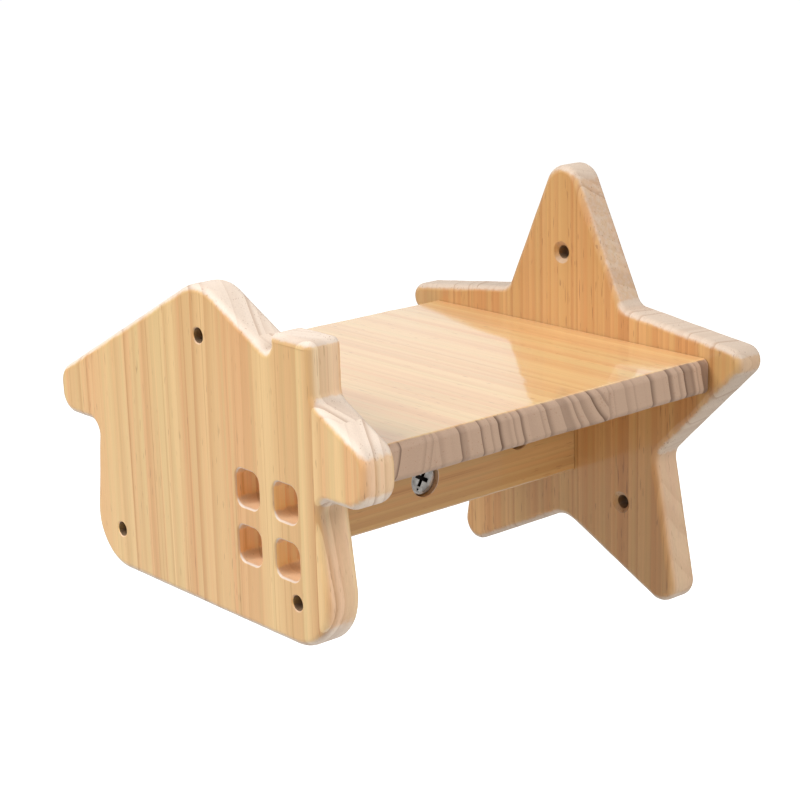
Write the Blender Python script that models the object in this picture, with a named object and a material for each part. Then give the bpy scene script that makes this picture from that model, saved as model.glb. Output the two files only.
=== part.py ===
"""A small pine cat step for the wall: a house panel and a star panel joined by a shelf board and a rail.

The wall is the plane Y = 0, behind the star panel. X runs along the wall, Y away from the room and
Z up, with Z = 0 on top of the shelf. The shelf and the rail are held by cam locks and wooden dowels.
"""

import math

import bmesh
import bpy
from mathutils import Matrix, Vector

# Boards and the overall length from the wall to the front of the house
BOARD = 0.015
OVERALL_LENGTH = 0.210
SEAM = 0.0003
PANEL_EDGE = 0.003
ARC_STEP = math.radians(15)
ROUND_SIDES = 24

# House panel: heights count from the top of the shelf
HOUSE_HEIGHT = 0.127
HOUSE_BELOW_SHELF = 0.0768
HOUSE_EAVES = 0.1978
ROOF_PITCH = math.radians(27.2)
PEAK_MIDDLE = 0.0037
PEAK_RADIUS = 0.022
EAVE_DEPTH = 0.0174
EAVE_TOP_RADIUS = 0.0095
EAVE_FOOT_RADIUS = 0.011
WALL_TOP_WIDTH = 0.1434
WALL_FOOT_WIDTH = 0.1596
WALL_NOTCH_RADIUS = 0.0053
FOOT_RADIUS = 0.0206
CHIMNEY_WIDTH = 0.0241
CHIMNEY_MIDDLE = 0.0592
CHIMNEY_ABOVE_ROOF = 0.0212
CHIMNEY_CORNER = 0.0032
CHIMNEY_NOTCH = 0.005

# Windows of the house, two by two
WINDOW_SIZE = 0.0145
WINDOW_CORNER = 0.0043
WINDOW_CHAMFER = 0.0007
WINDOW_MIDDLE = (0.0415, -0.0338)
WINDOW_PITCH = (0.0228, 0.0219)

# Star panel: a belt over its five points and under the notches between them
STAR_WIDTH = 0.200
STAR_ABOVE_SHELF = 0.0713
STAR_BELOW_SHELF = 0.1127
STAR_FOOT_WIDTH = 0.1320
STAR_ARM_HEIGHT = -0.0006
STAR_TIP_RADIUS = 0.0105
STAR_ARM_RADIUS = 0.0067
STAR_FOOT_RADIUS = 0.0085
SHOULDER_NOTCH = (0.0386, 0.0190, 0.0060)
SIDE_NOTCH = (0.0625, -0.0503, 0.0070)
CROTCH_HEIGHT = -0.0872
CROTCH_RADIUS = 0.014

# Screw holes of both panels, countersunk on the sides that face each other
SCREW_HOLE = 0.006
SCREW_SINK = 0.009
SINK_DEPTH = 0.0015
HOLE_RIM = 0.0003
HOUSE_HOLES = ((PEAK_MIDDLE, 0.0310), (-0.0580, -0.0599), (0.0580, -0.0599))
STAR_HOLES = ((0.0, 0.0333), (-0.0355, -0.0727), (0.0355, -0.0727))

# Shelf board and the rail on edge below it
SHELF_WIDTH = 0.1676
SHELF_EDGE = 0.003
RAIL_HEIGHT = 0.0493
RAIL_EDGE = 0.0015

# Wooden dowels between the shelf's ends and the panels
DOWEL_DIAMETER = 0.008
DOWEL_IN_PANEL = 0.010
DOWEL_IN_SHELF = 0.018
DOWEL_FROM_SIDE = 0.023
DOWEL_CHAMFER = 0.001

# Cam locks in the side of the rail
CAM_DIAMETER = 0.0144
CAM_HEIGHT = 0.010
CAM_SUNK = 0.0022
CAM_CHAMFER = 0.0005
CAM_MOUTH_CLEARANCE = 0.0002
CAM_GRIP_RADIUS = 0.0038
CAM_OPEN_RADIUS = 0.0050
CAM_TURN = math.radians(210)
CAM_TO_FACE = 0.0335
MIDDLE_CAM_OFFSET = 0.002
GRIP_SLACK = math.radians(5)
CROSS_SPAN = 0.0082
CROSS_WIDTH = 0.0016
CROSS_DEPTH = 0.0014

# Cam bolts, from a board's face to the middle of the cam
BOLT_THREAD = 0.011
THREAD_DIAMETER = 0.006
SHAFT_DIAMETER = 0.007
NECK_DIAMETER = 0.004
BALL_DIAMETER = 0.006
BALL_BEFORE_CAM_AXIS = 0.0004
BALL_TIP_DIAMETER = 0.002
BALL_RINGS = 6
SHAFT_CLEARANCE = 0.0005

# Places that follow from the sizes above
STAR_FACE = -BOARD
HOUSE_FACE = BOARD - OVERALL_LENGTH
CAM_BOTTOM = BOARD / 2 - CAM_SUNK - CAM_HEIGHT
POCKET_FLOOR = CAM_BOTTOM - SEAM
POCKET_RADIUS = CAM_DIAMETER / 2 + SEAM
SHELF_UNDERSIDE = -BOARD
RAIL_TOP = SHELF_UNDERSIDE - SEAM
RAIL_FOOT = SHELF_UNDERSIDE - RAIL_HEIGHT
RAIL_MIDDLE = SHELF_UNDERSIDE - RAIL_HEIGHT / 2
MIDDLE_CAM_Y = MIDDLE_CAM_OFFSET - OVERALL_LENGTH / 2
GRIP_MARGIN = GRIP_SLACK + math.asin((NECK_DIAMETER / 2 + SEAM) / CAM_GRIP_RADIUS)
OVERSHOOT = 0.003


def principled(name, color, roughness, metallic=0.0):
    """A plain material with one colour."""
    material = bpy.data.materials.new(name)
    material.use_nodes = True
    shader = material.node_tree.nodes["Principled BSDF"]
    shader.inputs["Base Color"].default_value = (*color, 1.0)
    shader.inputs["Roughness"].default_value = roughness
    shader.inputs["Metallic"].default_value = metallic
    return material


def add_object(name, bm, material=None):
    """Turn a bmesh into an object of the scene, with its faces pointing out."""
    bmesh.ops.recalc_face_normals(bm, faces=bm.faces)
    mesh = bpy.data.meshes.new(name)
    bm.to_mesh(mesh)
    bm.free()
    if material:
        mesh.materials.append(material)
    thing = bpy.data.objects.new(name, mesh)
    bpy.context.scene.collection.objects.link(thing)
    return thing


def cut(body, cutter):
    """Cut one object with another, which stays as a hidden wire guide."""
    cutter.hide_render = True
    cutter.display_type = "WIRE"
    boolean = body.modifiers.new(cutter.name, "BOOLEAN")
    boolean.operation = "DIFFERENCE"
    boolean.solver = "EXACT"
    boolean.object = cutter


def arc(centre, radius, start, end):
    """Points from heading start to heading end round a centre; a negative radius turns the other way."""
    steps = max(1, math.ceil(abs(end - start) / ARC_STEP))
    headings = [start + (end - start) * i / steps for i in range(steps + 1)]
    return [centre + radius * Vector((math.sin(h), -math.cos(h))) for h in headings]


def heading(vector):
    return math.atan2(vector.y, vector.x)


def turn(start, end):
    """The signed angle from one heading to another, between minus and plus half a turn."""
    return (end - start + math.pi) % (2 * math.pi) - math.pi


def rounded(corners):
    """A closed outline through corners (x, z, radius), taken anticlockwise, each with its fillet."""
    points = []
    for i, (x, z, radius) in enumerate(corners):
        here = Vector((x, z))
        before = Vector(corners[i - 1][:2])
        after = Vector(corners[(i + 1) % len(corners)][:2])
        start = heading(here - before)
        swing = turn(start, heading(after - here))
        reach = min((here - before).length, (after - here).length) / 2
        tangent = min(radius * abs(math.tan(swing / 2)), reach)
        signed = math.copysign(tangent / abs(math.tan(swing / 2)), swing)
        side = Vector((-math.sin(start), math.cos(start)))
        centre = here - (here - before).normalized() * tangent + side * signed
        points += arc(centre, signed, start, start + swing)
    return points


def belt(circles):
    """A closed outline over circles (x, z, radius), taken anticlockwise; a negative radius runs under."""
    ahead = []
    for i, (x, z, radius) in enumerate(circles):
        nx, nz, next_radius = circles[(i + 1) % len(circles)]
        gap = Vector((nx - x, nz - z))
        ahead.append(heading(gap) - math.asin((next_radius - radius) / gap.length))
    points = []
    for i, (x, z, radius) in enumerate(circles):
        swing = turn(ahead[i - 1], ahead[i])
        points += arc(Vector((x, z)), radius, ahead[i - 1], ahead[i - 1] + swing)
    return points


def skin(bm, rings):
    """Add a closed body through rings with equally many points."""
    loops = [[bm.verts.new(point) for point in ring] for ring in rings]
    for near, far in zip(loops, loops[1:]):
        for i in range(len(near)):
            bm.faces.new((near[i - 1], near[i], far[i], far[i - 1]))
    bm.faces.new(loops[0])
    bm.faces.new(loops[-1])


def loft(bm, outlines, levels):
    """Add a closed body through (x, z) outlines, each standing at its own y."""
    skin(bm, [[(p.x, y, p.y) for p in outline] for outline, y in zip(outlines, levels)])


def slab(outline, near, far, edge):
    """A board with the outline's shape between two planes, its rim rounded on both faces."""
    bm = bmesh.new()
    loft(bm, [outline, outline], [near, far])
    rim = [e for e in bm.edges if abs(e.verts[0].co.y - e.verts[1].co.y) < SEAM]
    bmesh.ops.bevel(bm, geom=rim, offset=edge, segments=2, profile=0.5, affect="EDGES")
    return bm


def turned(bm, profile, place):
    """Add a round body: profile (radius, distance) pairs along local Z, moved by a matrix."""
    turns = [2 * math.pi * i / ROUND_SIDES for i in range(ROUND_SIDES)]
    rings = [
        [place @ Vector((radius * math.cos(a), radius * math.sin(a), distance)) for a in turns]
        for radius, distance in profile
    ]
    skin(bm, rings)


def along(direction, start):
    """A matrix that takes local Z to a direction and the origin to a start point."""
    return Matrix.Translation(start) @ Vector(direction).to_track_quat("Z", "Y").to_matrix().to_4x4()


def box(bm, low, high):
    """Add a block between two corners."""
    made = bmesh.ops.create_cube(bm, size=1.0)["verts"]
    size = Vector(high) - Vector(low)
    middle = (Vector(high) + Vector(low)) / 2
    bmesh.ops.scale(bm, vec=size, verts=made)
    bmesh.ops.translate(bm, vec=middle, verts=made)


def house_outline():
    """Gabled house front with a chimney, seen from the room; its peak stands beside the middle."""
    eave = HOUSE_EAVES / 2
    foot = -HOUSE_BELOW_SHELF
    peak = HOUSE_HEIGHT + foot + PEAK_RADIUS * (1 / math.cos(ROOF_PITCH) - 1)
    left = CHIMNEY_MIDDLE - CHIMNEY_WIDTH / 2
    right = CHIMNEY_MIDDLE + CHIMNEY_WIDTH / 2

    def roof(x):
        return peak - abs(x - PEAK_MIDDLE) * math.tan(ROOF_PITCH)

    top = roof(right) + CHIMNEY_ABOVE_ROOF
    return rounded([
        (WALL_FOOT_WIDTH / 2, foot, FOOT_RADIUS),
        (WALL_TOP_WIDTH / 2, -EAVE_DEPTH, WALL_NOTCH_RADIUS),
        (eave, -EAVE_DEPTH, EAVE_FOOT_RADIUS),
        (eave, roof(eave), EAVE_TOP_RADIUS),
        (right, roof(right), CHIMNEY_NOTCH),
        (right, top, CHIMNEY_CORNER),
        (left, top, CHIMNEY_CORNER),
        (left, roof(left), CHIMNEY_NOTCH),
        (PEAK_MIDDLE, peak, PEAK_RADIUS),
        (-eave, roof(-eave), EAVE_TOP_RADIUS),
        (-eave, -EAVE_DEPTH, EAVE_FOOT_RADIUS),
        (-WALL_TOP_WIDTH / 2, -EAVE_DEPTH, WALL_NOTCH_RADIUS),
        (-WALL_FOOT_WIDTH / 2, foot, FOOT_RADIUS),
    ])


def star_outline():
    """Five-pointed star with round points and notches."""
    arm = (STAR_WIDTH / 2 - STAR_ARM_RADIUS, STAR_ARM_HEIGHT, STAR_ARM_RADIUS)
    foot = (STAR_FOOT_WIDTH / 2 - STAR_FOOT_RADIUS, STAR_FOOT_RADIUS - STAR_BELOW_SHELF, STAR_FOOT_RADIUS)
    shoulder = (*SHOULDER_NOTCH[:2], -SHOULDER_NOTCH[2])
    side = (*SIDE_NOTCH[:2], -SIDE_NOTCH[2])
    right = [foot, side, arm, shoulder]
    left = [(-x, z, radius) for x, z, radius in reversed(right)]
    top = (0.0, STAR_ABOVE_SHELF - STAR_TIP_RADIUS, STAR_TIP_RADIUS)
    crotch = (0.0, CROTCH_HEIGHT - CROTCH_RADIUS, -CROTCH_RADIUS)
    return belt([crotch, *right, top, *left])


def window_outline(middle, grow):
    """A square with round corners, larger by grow on every side."""
    half = WINDOW_SIZE / 2 + grow
    x, z = middle
    corner = WINDOW_CORNER + grow
    return rounded([
        (x + half, z - half, corner),
        (x + half, z + half, corner),
        (x - half, z + half, corner),
        (x - half, z - half, corner),
    ])


def window_cutter(name):
    """Four window shafts through the house panel, chamfered at both faces."""
    bm = bmesh.new()
    front = -OVERALL_LENGTH
    past = WINDOW_CHAMFER + OVERSHOOT
    for column in (-0.5, 0.5):
        for row in (-0.5, 0.5):
            middle = (
                WINDOW_MIDDLE[0] + column * WINDOW_PITCH[0],
                WINDOW_MIDDLE[1] + row * WINDOW_PITCH[1],
            )
            plain = window_outline(middle, 0.0)
            wide = window_outline(middle, past)
            levels = [
                front - OVERSHOOT,
                front + WINDOW_CHAMFER,
                HOUSE_FACE - WINDOW_CHAMFER,
                HOUSE_FACE + OVERSHOOT,
            ]
            loft(bm, [wide, plain, plain, wide], levels)
    return add_object(name, bm)


def screw_cutter(name, holes, sunk_face, other_face):
    """Screw holes through a panel: a countersink on one face and a thin rim on the other."""
    bm = bmesh.new()
    into = math.copysign(1.0, other_face - sunk_face)
    radius = SCREW_HOLE / 2
    slope = (SCREW_SINK / 2 - radius) / SINK_DEPTH
    profile = [
        (SCREW_SINK / 2 + slope * OVERSHOOT, -OVERSHOOT),
        (radius, SINK_DEPTH),
        (radius, BOARD - HOLE_RIM),
        (radius + HOLE_RIM + OVERSHOOT, BOARD + OVERSHOOT),
    ]
    for x, z in holes:
        turned(bm, profile, along((0, into, 0), (x, sunk_face, z)))
    return add_object(name, bm)


def dowel_places():
    """Each dowel as (name, x, face it crosses, direction into its panel)."""
    reach = SHELF_WIDTH / 2 - DOWEL_FROM_SIDE
    for side, x in (("left", -reach), ("right", reach)):
        yield f"house_dowel_{side}", x, HOUSE_FACE, -1
        yield f"star_dowel_{side}", x, STAR_FACE, 1


def bolt_places():
    """Each cam bolt as (board, point on the board's face, direction from the board to the cam)."""
    yield "star", Vector((0, STAR_FACE, RAIL_MIDDLE)), Vector((0, -1, 0))
    yield "house", Vector((0, HOUSE_FACE, RAIL_MIDDLE)), Vector((0, 1, 0))
    yield "shelf", Vector((0, MIDDLE_CAM_Y, SHELF_UNDERSIDE)), Vector((0, 0, -1))


def drill(bm, radius, start, direction, depth):
    """Add a drill body that begins a little outside the face it enters."""
    turned(bm, [(radius, -OVERSHOOT), (radius, depth)], along(direction, start))


def drill_dowel_holes(bm, places):
    """Add blind dowel holes: places are (x, face, direction, depth)."""
    for x, face, direction, depth in places:
        start = (x, face, SHELF_UNDERSIDE / 2)
        drill(bm, DOWEL_DIAMETER / 2 + SEAM, start, (0, direction, 0), depth + SEAM)


def panel_joint_cutter(name, face, direction):
    """Dowel holes and the thread hole of the cam bolt, in a panel's inner face."""
    bm = bmesh.new()
    drill_dowel_holes(bm, [(x, f, d, DOWEL_IN_PANEL) for _, x, f, d in dowel_places() if f == face])
    radius = THREAD_DIAMETER / 2 + SEAM
    drill(bm, radius, (0, face, RAIL_MIDDLE), (0, direction, 0), BOLT_THREAD + SEAM)
    return add_object(name, bm)


def make_house_panel(pine):
    panel = add_object("house_panel", slab(house_outline(), -OVERALL_LENGTH, HOUSE_FACE, PANEL_EDGE), pine)
    cut(panel, window_cutter("house_windows"))
    cut(panel, screw_cutter("house_screw_holes", HOUSE_HOLES, HOUSE_FACE, -OVERALL_LENGTH))
    cut(panel, panel_joint_cutter("house_joint_holes", HOUSE_FACE, -1))


def make_star_panel(pine):
    panel = add_object("star_panel", slab(star_outline(), STAR_FACE, 0.0, PANEL_EDGE), pine)
    cut(panel, screw_cutter("star_screw_holes", STAR_HOLES, STAR_FACE, 0.0))
    cut(panel, panel_joint_cutter("star_joint_holes", STAR_FACE, 1))


def round_along_y(bm, chooser, offset):
    """Round the edges that run along Y and that the chooser picks by their middle point."""
    picked = [
        e for e in bm.edges
        if abs(e.verts[0].co.y - e.verts[1].co.y) > BOARD
        and chooser((e.verts[0].co + e.verts[1].co) / 2)
    ]
    bmesh.ops.bevel(bm, geom=picked, offset=offset, segments=2, profile=0.5, affect="EDGES")


def make_shelf_board(pine):
    """The board the cat stands on, with long edges rounded and square ends."""
    bm = bmesh.new()
    low = (-SHELF_WIDTH / 2, HOUSE_FACE + SEAM, SHELF_UNDERSIDE)
    high = (SHELF_WIDTH / 2, STAR_FACE - SEAM, 0.0)
    box(bm, low, high)
    round_along_y(bm, lambda middle: True, SHELF_EDGE)
    board = add_object("shelf_board", bm, pine)
    holes = bmesh.new()
    drill_dowel_holes(holes, [(x, face, -d, DOWEL_IN_SHELF) for _, x, face, d in dowel_places()])
    start = (0, MIDDLE_CAM_Y, SHELF_UNDERSIDE)
    drill(holes, THREAD_DIAMETER / 2 + SEAM, start, (0, 0, 1), BOLT_THREAD + SEAM)
    cut(board, add_object("shelf_holes", holes))


def make_support_rail(pine):
    """The board on edge under the shelf, drilled for the cams and their bolts."""
    bm = bmesh.new()
    low = (-BOARD / 2, HOUSE_FACE + SEAM, RAIL_FOOT)
    high = (BOARD / 2, STAR_FACE - SEAM, RAIL_TOP)
    box(bm, low, high)
    round_along_y(bm, lambda middle: middle.z < RAIL_MIDDLE, RAIL_EDGE)
    rail = add_object("support_rail", bm, pine)
    pockets = bmesh.new()
    bores = bmesh.new()
    for _, face, direction in bolt_places():
        centre = face + direction * CAM_TO_FACE
        mouth = Vector((BOARD / 2, centre.y, centre.z))
        drill(pockets, POCKET_RADIUS, mouth, (-1, 0, 0), BOARD / 2 - POCKET_FLOOR)
        drill(bores, SHAFT_DIAMETER / 2 + SHAFT_CLEARANCE, face, direction, CAM_TO_FACE)
    cut(rail, add_object("cam_pockets", pockets))
    cut(rail, add_object("bolt_bores", bores))


def cam_cavity():
    """The hollow for the bolt's ball: its wall closes in from the mouth to the grip."""
    bm = bmesh.new()
    half = BALL_DIAMETER / 2 + SEAM
    outline = []
    for i in range(ROUND_SIDES):
        angle = 2 * math.pi * i / ROUND_SIDES
        closed = min(angle / CAM_TURN, 1.0) if angle < CAM_TURN + GRIP_MARGIN else 0.0
        radius = CAM_OPEN_RADIUS + (CAM_GRIP_RADIUS - CAM_OPEN_RADIUS) * closed
        outline.append(Vector((math.cos(angle), math.sin(angle))) * radius)
    layer_by_x(bm, outline, -half, half)
    return bm


def layer_by_x(bm, outline, low, high):
    """Add a prism of a (y, z) outline between two x levels."""
    face = bm.faces.new([bm.verts.new((low, p.x, p.y)) for p in outline])
    top = bmesh.ops.extrude_face_region(bm, geom=[face])["geom"]
    moved = [v for v in top if isinstance(v, bmesh.types.BMVert)]
    bmesh.ops.translate(bm, vec=(high - low, 0, 0), verts=moved)


def sector(start, end, inner, outer):
    """A ring sector as a (y, z) outline."""
    steps = max(2, math.ceil((end - start) / ARC_STEP))
    angles = [start + (end - start) * i / steps for i in range(steps + 1)]
    rim = [Vector((math.cos(a), math.sin(a))) * outer for a in angles]
    return rim + [Vector((math.cos(a), math.sin(a))) * inner for a in reversed(angles)]


def cam_slot_cutter(name):
    """The slot that the bolt's neck runs in while the cam turns."""
    bm = bmesh.new()
    half = NECK_DIAMETER / 2 + SEAM
    outline = sector(-GRIP_MARGIN, CAM_TURN + GRIP_MARGIN, BALL_DIAMETER / 2, CAM_DIAMETER / 2 + OVERSHOOT)
    layer_by_x(bm, outline, -half, half)
    return add_object(name, bm)


def cam_mouth_cutter(name):
    """The mouth where the bolt's ball enters the open cam."""
    bm = bmesh.new()
    half = BALL_DIAMETER / 2 + CAM_MOUTH_CLEARANCE
    spread = math.asin(half / CAM_OPEN_RADIUS)
    outline = sector(-spread, spread, BALL_DIAMETER / 2, CAM_DIAMETER / 2 + OVERSHOOT)
    layer_by_x(bm, outline, -half, half)
    return add_object(name, bm)


def cam_cross_cutter(name):
    """The cross for the screwdriver: one arm points at the mouth."""
    bm = bmesh.new()
    half, arm = CROSS_WIDTH / 2, CROSS_SPAN / 2
    quarter = [Vector((half, -arm)), Vector((half, -half)), Vector((arm, -half))]
    outline = []
    for i in range(4):
        swing = Matrix.Rotation(i * math.pi / 2, 2)
        outline += [swing @ p for p in quarter]
    top = CAM_BOTTOM + CAM_HEIGHT
    layer_by_x(bm, outline, top - CROSS_DEPTH, top + OVERSHOOT)
    return add_object(name, bm)


def cam_mesh(zinc):
    """The mesh that the cam locks share: axis along X, mouth towards local Y."""
    bm = bmesh.new()
    radius = CAM_DIAMETER / 2
    top = CAM_BOTTOM + CAM_HEIGHT
    profile = [(radius, CAM_BOTTOM), (radius, top - CAM_CHAMFER), (radius - CAM_CHAMFER, top)]
    turned(bm, profile, along((1, 0, 0), (0, 0, 0)))
    blank = add_object("cam_blank", bm, zinc)
    cutters = [
        add_object("cam_cavity", cam_cavity()),
        cam_slot_cutter("cam_slot"),
        cam_mouth_cutter("cam_mouth"),
        cam_cross_cutter("cam_cross"),
    ]
    for cutter in cutters:
        cut(blank, cutter)
    graph = bpy.context.evaluated_depsgraph_get()
    mesh = bpy.data.meshes.new_from_object(blank.evaluated_get(graph))
    mesh.name = "cam_lock"
    for helper in (blank, *cutters):
        bpy.data.objects.remove(helper)
    return mesh


def make_cam_locks(zinc):
    """One cam on each bolt, shown locked: the mouth has turned away from its bolt."""
    mesh = cam_mesh(zinc)
    for board, face, direction in bolt_places():
        cam = bpy.data.objects.new(f"{board}_cam_lock", mesh)
        cam.location = face + direction * CAM_TO_FACE
        to_bolt = math.atan2(-direction.z, -direction.y)
        cam.rotation_euler = (to_bolt - CAM_TURN, 0, 0)
        bpy.context.scene.collection.objects.link(cam)


def ball_profile(middle):
    """The ball at the end of a bolt, from its neck to its flat tip, as (radius, distance)."""
    ball = BALL_DIAMETER / 2
    start = math.asin(NECK_DIAMETER / BALL_DIAMETER)
    end = math.pi - math.asin(BALL_TIP_DIAMETER / BALL_DIAMETER)
    angles = [start + (end - start) * i / BALL_RINGS for i in range(BALL_RINGS + 1)]
    return [(ball * math.sin(a), middle - ball * math.cos(a)) for a in angles]


def make_cam_bolts(steel):
    """Threaded into a board, with a ball head inside the cam."""
    thread, shaft, neck = THREAD_DIAMETER / 2, SHAFT_DIAMETER / 2, NECK_DIAMETER / 2
    shaft_end = CAM_TO_FACE - POCKET_RADIUS - SEAM
    ball = ball_profile(CAM_TO_FACE - BALL_BEFORE_CAM_AXIS)
    profile = [
        (thread, -BOLT_THREAD),
        (thread, SEAM),
        (shaft, SEAM),
        (shaft, shaft_end),
        (neck, shaft_end),
        *ball,
    ]
    for board, face, direction in bolt_places():
        bm = bmesh.new()
        turned(bm, profile, along(direction, face))
        add_object(f"{board}_cam_bolt", bm, steel)


def make_dowels(beech):
    """Round wooden pins with chamfered ends."""
    radius = DOWEL_DIAMETER / 2
    length = DOWEL_IN_PANEL + DOWEL_IN_SHELF
    profile = [
        (radius - DOWEL_CHAMFER, 0.0),
        (radius, DOWEL_CHAMFER),
        (radius, length - DOWEL_CHAMFER),
        (radius - DOWEL_CHAMFER, length),
    ]
    for name, x, face, into_panel in dowel_places():
        bm = bmesh.new()
        start = (x, face + into_panel * DOWEL_IN_PANEL, SHELF_UNDERSIDE / 2)
        turned(bm, profile, along((0, -into_panel, 0), start))
        add_object(name, bm, beech)


def shade_round_pieces():
    """Smooth shading with sharp corners kept."""
    for thing in bpy.context.scene.objects:
        if not thing.hide_render:
            thing.data.shade_smooth()
            thing.data.set_sharp_from_angle(angle=math.radians(35))


def main():
    for thing in list(bpy.data.objects):
        bpy.data.objects.remove(thing)
    pine = principled("varnished_pine", (0.76, 0.55, 0.31), 0.4)
    beech = principled("bare_beech", (0.70, 0.52, 0.34), 0.7)
    zinc = principled("zinc_casting", (0.62, 0.61, 0.60), 0.35, 1.0)
    steel = principled("zinc_plated_steel", (0.66, 0.66, 0.67), 0.3, 1.0)
    make_house_panel(pine)
    make_star_panel(pine)
    make_shelf_board(pine)
    make_support_rail(pine)
    make_cam_locks(zinc)
    make_cam_bolts(steel)
    make_dowels(beech)
    shade_round_pieces()


main()
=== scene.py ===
"""Dresses the wall-mounted pine cat step: two cut-out panels, a shelf board, a rail and three cam locks.

The frame's coordinates are kept: X runs along the wall, Y away from the room and Z up, in metres.
"""

import logging
import math
from collections.abc import Iterable, Sequence
from dataclasses import dataclass, field, replace
from enum import Enum
from typing import NamedTuple

import bmesh
import bpy
from bmesh.types import BMEdge, BMesh, BMFace, BMVert
from bpy.types import Material, Node, NodeSocket, NodeTree, Object
from mathutils import Matrix, Vector, noise


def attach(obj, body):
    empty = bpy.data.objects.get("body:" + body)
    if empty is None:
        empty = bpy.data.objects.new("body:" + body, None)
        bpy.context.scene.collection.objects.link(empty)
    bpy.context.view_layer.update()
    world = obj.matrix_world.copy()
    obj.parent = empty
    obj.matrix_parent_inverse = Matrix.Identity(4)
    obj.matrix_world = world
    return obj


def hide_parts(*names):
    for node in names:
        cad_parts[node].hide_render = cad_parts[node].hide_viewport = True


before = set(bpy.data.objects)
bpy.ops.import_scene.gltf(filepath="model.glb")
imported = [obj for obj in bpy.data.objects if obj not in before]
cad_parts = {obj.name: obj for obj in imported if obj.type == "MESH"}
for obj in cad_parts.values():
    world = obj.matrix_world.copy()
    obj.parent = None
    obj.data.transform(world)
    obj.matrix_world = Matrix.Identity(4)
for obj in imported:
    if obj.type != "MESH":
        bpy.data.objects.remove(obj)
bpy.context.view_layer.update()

LOG = logging.getLogger("cat_step")
Triple = tuple[float, float, float]
Pair = tuple[float, float]
MM = 0.001
BOARD = 0.015
LENGTH = 0.210
SEAM = 0.0003
STAR_FACE = -BOARD
HOUSE_FACE = BOARD - LENGTH
RAIL_MIDDLE = -0.03965
CAM_TO_FACE = 0.0335
SHELF_CAM_Y = -0.103
# How far a cutter stands out of the face it cuts.
PAST = 0.003
# Two measures are the same within SAME, and vertices closer than MERGE become one in a finished mesh.
SAME = 1e-6
MERGE = 1e-7
# The material slots of a piece: its own, its milled or sunk walls, and its drilled walls. The wall slots
# carry painted light and shade.
OWN, CUT, DRILLED = 0, 1, 2
SHARP = math.radians(38)
QUARTER = math.pi / 2
WOOD_IOR = 1.5
BYTE = 255
SRGB_KNEE, SRGB_SLOPE, SRGB_SHIFT, SRGB_POWER = 0.04045, 12.92, 0.055, 2.4
# The Mix node's sockets for two colours, and for their mixture.
COLOUR_A, COLOUR_B, MIXED = 6, 7, 2
VECTORS = "VectorMath"
# The detail of a noise with fine grains.
FINE = 3.0
# The rows of a Grain.
THROUGH, ALONG = 1, 2


class Grain(Enum):
    """The direction of a board's grain, as the rows that take X, Y, Z to across, through and along."""

    UPRIGHT = ((1, 0, 0), (0, 1, 0), (0, 0, 1))
    ALONG_WALL = ((0, 1, 0), (0, 0, 1), (1, 0, 0))
    FROM_WALL = ((0, 0, 1), (1, 0, 0), (0, 1, 0))


class Corner(NamedTuple):
    """A corner of an outline with its fillet's radius, or a circle that a belt runs over or under."""

    x: float
    z: float
    radius: float


class Arc(NamedTuple):
    """An arc of an outline; a negative radius bends it inwards."""

    x: float
    z: float
    radius: float
    start: float
    swing: float


def linear(code: str) -> tuple[float, float, float, float]:
    """Turn an sRGB hex colour of six digits to linear red, green and blue, with an alpha of one."""
    parts = [int(code[i : i + 2], 16) / BYTE for i in (0, 2, 4)]
    bent = [((p + SRGB_SHIFT) / (1 + SRGB_SHIFT)) ** SRGB_POWER for p in parts]
    return (*(p / SRGB_SLOPE if p <= SRGB_KNEE else b for p, b in zip(parts, bent)), 1.0)


def put(tree: NodeTree, kind: str, feeds: dict | None = None, **settings: object) -> Node:
    """Add a node with its settings and links.

    Args:
        tree: the node tree.
        kind: the node's type without its ShaderNode prefix.
        feeds: by input name or number, a value, a socket, or a node whose first output is taken.
        settings: the node's own properties.

    Returns:
        The new node.
    """
    node = tree.nodes.new("ShaderNode" + kind)
    for key, value in settings.items():
        setattr(node, key, value)
    for key, value in (feeds or {}).items():
        if isinstance(value, Node):
            value = value.outputs[0]
        if isinstance(value, NodeSocket):
            tree.links.new(value, node.inputs[key])
        else:
            node.inputs[key].default_value = value
    return node


def calc(tree: NodeTree, operation: str, *terms: object, kind: str = "Math") -> Node:
    """Add a node that works out its operation on its terms in order, numbers or vectors by its kind."""
    return put(tree, kind, dict(enumerate(terms)), operation=operation)


def ramp(tree: NodeTree, value: object, low: float = 0.0, high: float = 1.0, band: Pair = (0.0, 1.0),
         kind: str = "LINEAR") -> Node:
    """Take a band of a value to the range from low to high, in a straight line or as its kind says."""
    feeds = {"Value": value, "From Min": band[0], "From Max": band[1], "To Min": low, "To Max": high}
    return put(tree, "MapRange", feeds, interpolation_type=kind)


def step(tree: NodeTree, value: Node, band: Pair, low: float = 0.0, high: float = 1.0) -> Node:
    """A smooth step from low to high while a value crosses a band."""
    return ramp(tree, value, low, high, band, "SMOOTHSTEP")


def blend(tree: NodeTree, share: Node, *pair: object) -> NodeSocket:
    """Mix a pair of colours, each a socket or an sRGB hex colour, by the share of the second."""
    first, second = (linear(c) if isinstance(c, str) else c for c in pair)
    return put(tree, "Mix", {0: share, COLOUR_A: first, COLOUR_B: second}, data_type="RGBA").outputs[MIXED]


def noise_at(tree: NodeTree, place: Node, pace: Triple, detail: float = FINE, rough: float = 0.5) -> Node:
    """Noise with a detail and a roughness that changes by its pace for each millimetre of the place."""
    long = calc(tree, "MULTIPLY", place, pace, kind=VECTORS)
    return put(tree, "TexNoise", {"Vector": long, "Scale": 1.0, "Detail": detail, "Roughness": rough})


def grains(tree: NodeTree, place: Node, scale: float) -> Node:
    """Noise with fine grains, as many to a millimetre as its scale."""
    return put(tree, "TexNoise", {"Vector": place, "Scale": scale, "Detail": FINE})


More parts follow.
